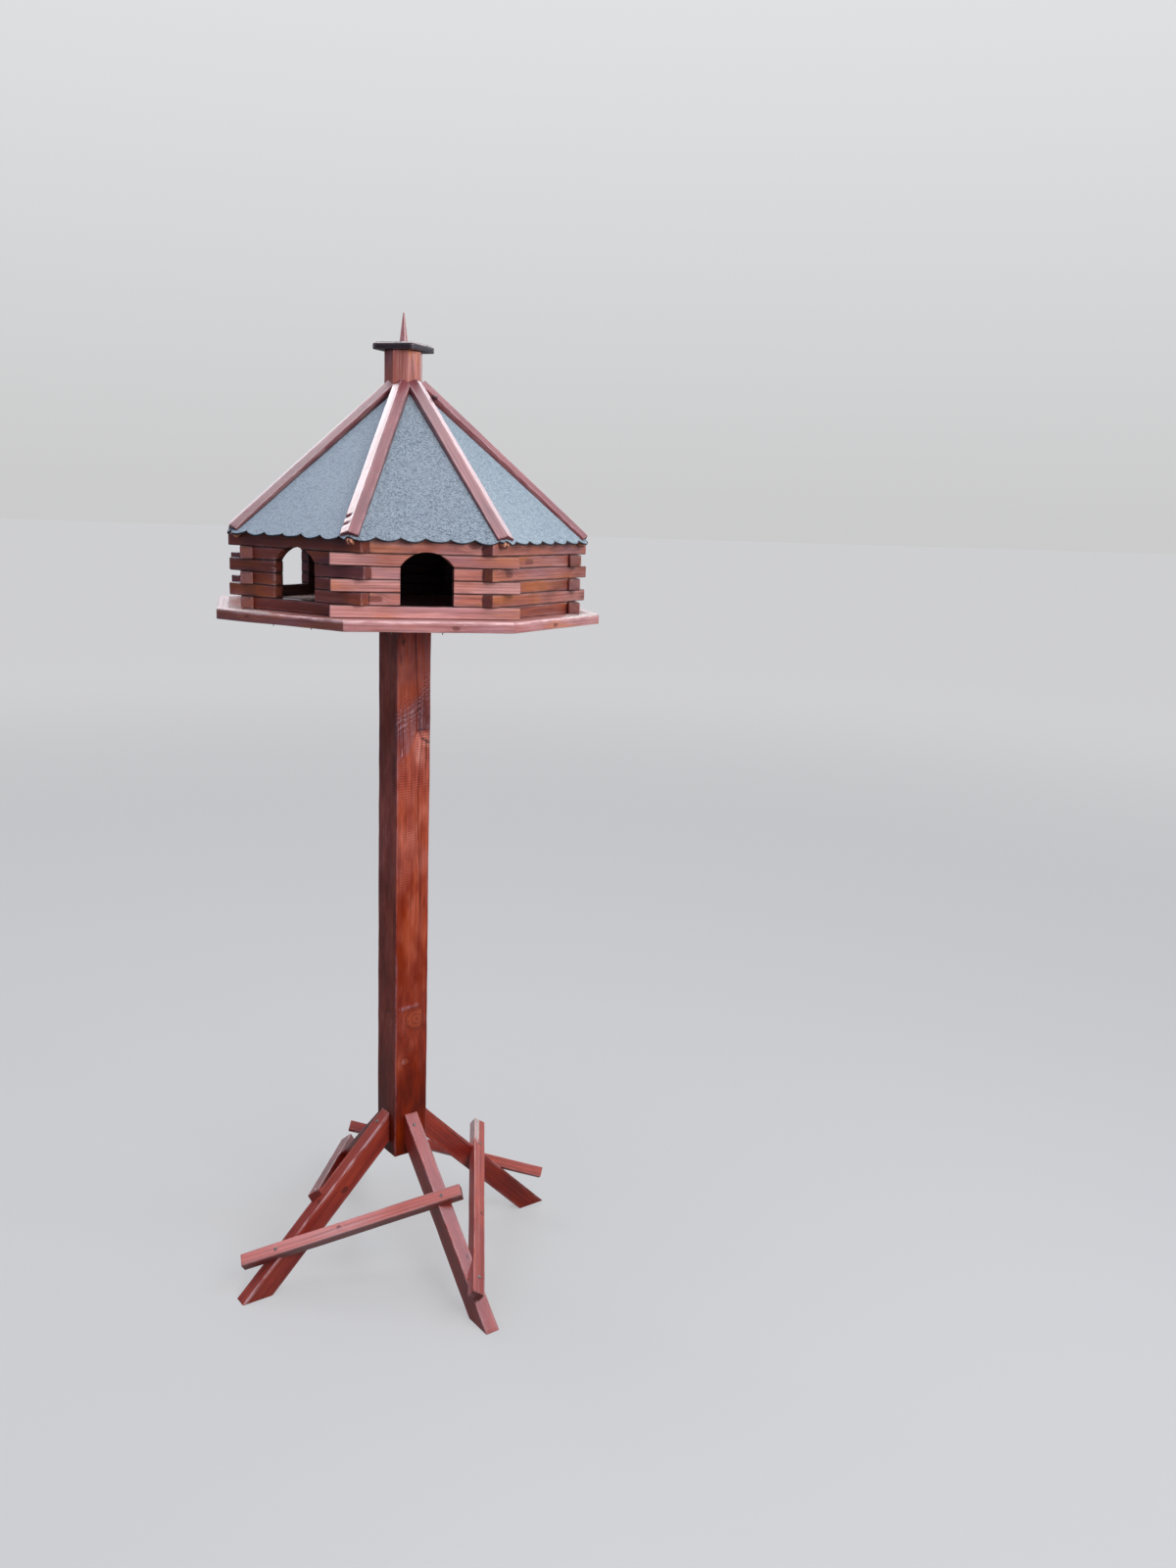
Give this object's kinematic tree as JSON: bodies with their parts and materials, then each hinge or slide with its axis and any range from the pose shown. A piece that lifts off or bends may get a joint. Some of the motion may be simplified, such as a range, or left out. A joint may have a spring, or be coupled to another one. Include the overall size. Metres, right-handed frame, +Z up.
{
  "type": "bird house on a post",
  "caption": "Eight-sided log bird house with arched openings and a felted pyramid roof, on a square post with four raking legs and braces.",
  "frame": {"origin": "on the ground under the axis of the post, at the bottom centre of the whole", "axes": "+Z up along the post, -Y out of the front wall's opening, +X to the right seen from the front"},
  "size_m": [0.66, 0.6776, 1.8008],
  "materials": {
    "stained_wood": "satin",
    "dark_stained_wood": "satin",
    "worn_wood": "matte",
    "roof_felt": "matte"
  },
  "bodies": {
    "root": {"post": "stained_wood", "leg_front": "stained_wood", "leg_right": "stained_wood", "leg_back": "stained_wood", "leg_left": "stained_wood", "brace_front_left": "stained_wood", "brace_front_right": "stained_wood", "brace_back_right": "stained_wood", "brace_back_left": "stained_wood", "floor_panel": "worn_wood", "floor_rim_straight": "stained_wood", "floor_rim_diagonal": "stained_wood", "wall_front_long_logs": "stained_wood", "wall_front_short_logs": "stained_wood", "wall_front_right_long_logs": "stained_wood", "wall_front_right_short_logs": "stained_wood", "wall_right_long_logs": "stained_wood", "wall_right_short_logs": "stained_wood", "wall_back_right_long_logs": "stained_wood", "wall_back_right_short_logs": "stained_wood", "wall_back_long_logs": "stained_wood", "wall_back_short_logs": "stained_wood", "wall_back_left_long_logs": "stained_wood", "wall_back_left_short_logs": "stained_wood", "wall_left_long_logs": "stained_wood", "wall_left_short_logs": "stained_wood", "wall_front_left_long_logs": "stained_wood", "wall_front_left_short_logs": "stained_wood", "roof_boards_straight": "stained_wood", "roof_boards_diagonal": "stained_wood", "roof_felt_front": "roof_felt", "roof_felt_front_right": "roof_felt", "roof_felt_right": "roof_felt", "roof_felt_back_right": "roof_felt", "roof_felt_back": "roof_felt", "roof_felt_back_left": "roof_felt", "roof_felt_left": "roof_felt", "roof_felt_front_left": "roof_felt", "roof_ribs_even": "stained_wood", "roof_ribs_odd": "stained_wood", "chimney": "stained_wood", "chimney_lid": "dark_stained_wood", "spike": "stained_wood"}
  },
  "joints": []
}
